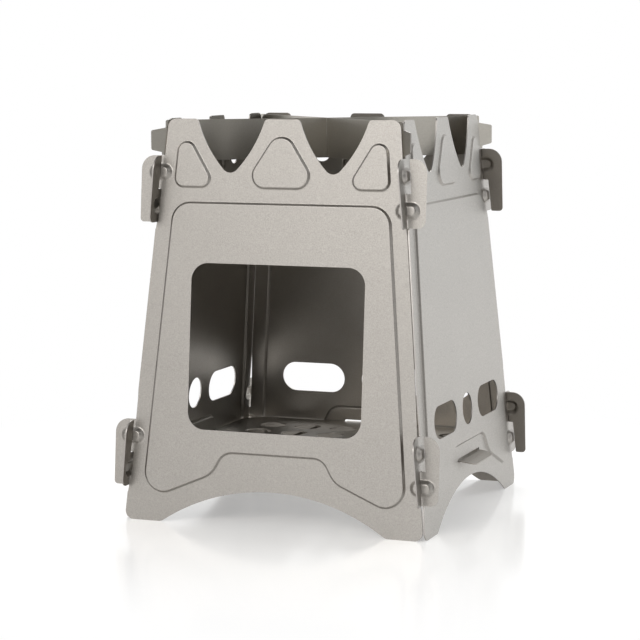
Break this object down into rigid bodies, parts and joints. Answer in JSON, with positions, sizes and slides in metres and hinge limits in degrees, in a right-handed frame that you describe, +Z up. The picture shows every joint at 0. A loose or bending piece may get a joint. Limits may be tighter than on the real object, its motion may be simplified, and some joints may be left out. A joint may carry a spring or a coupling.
{
  "type": "portable wood stove",
  "caption": "Flat-pack sheet-metal wood stove: tapered box of hooked panels with a fuel window, air vents, a crown, a hole-pattern fire grate and crossed pot supports.",
  "frame": {"origin": "middle of the footprint, on the ground the feet stand on", "axes": "+Z up, the fuel window faces -Y, +X is to the right as seen from the window"},
  "size_m": [0.1366, 0.1366, 0.16],
  "materials": {
    "satin_sheet": "satin, finely blasted",
    "satin_plate": "satin, finely blasted"
  },
  "bodies": {
    "body": {"front_panel": "satin_sheet", "right_panel": "satin_sheet", "back_panel": "satin_sheet", "left_panel": "satin_sheet", "fire_grate": "satin_plate"},
    "lower_support": {"pot_cross_lower": "satin_plate"},
    "upper_support": {"pot_cross_upper": "satin_plate"}
  },
  "joints": [
    {"name": "lower_support_lift", "type": "slide", "parent": "body", "child": "lower_support", "axis": [0, 0, 1], "range_m": [0, 0.03]},
    {"name": "upper_support_lift", "type": "slide", "parent": "lower_support", "child": "upper_support", "axis": [0, 0, 1], "range_m": [0, 0.02]}
  ]
}
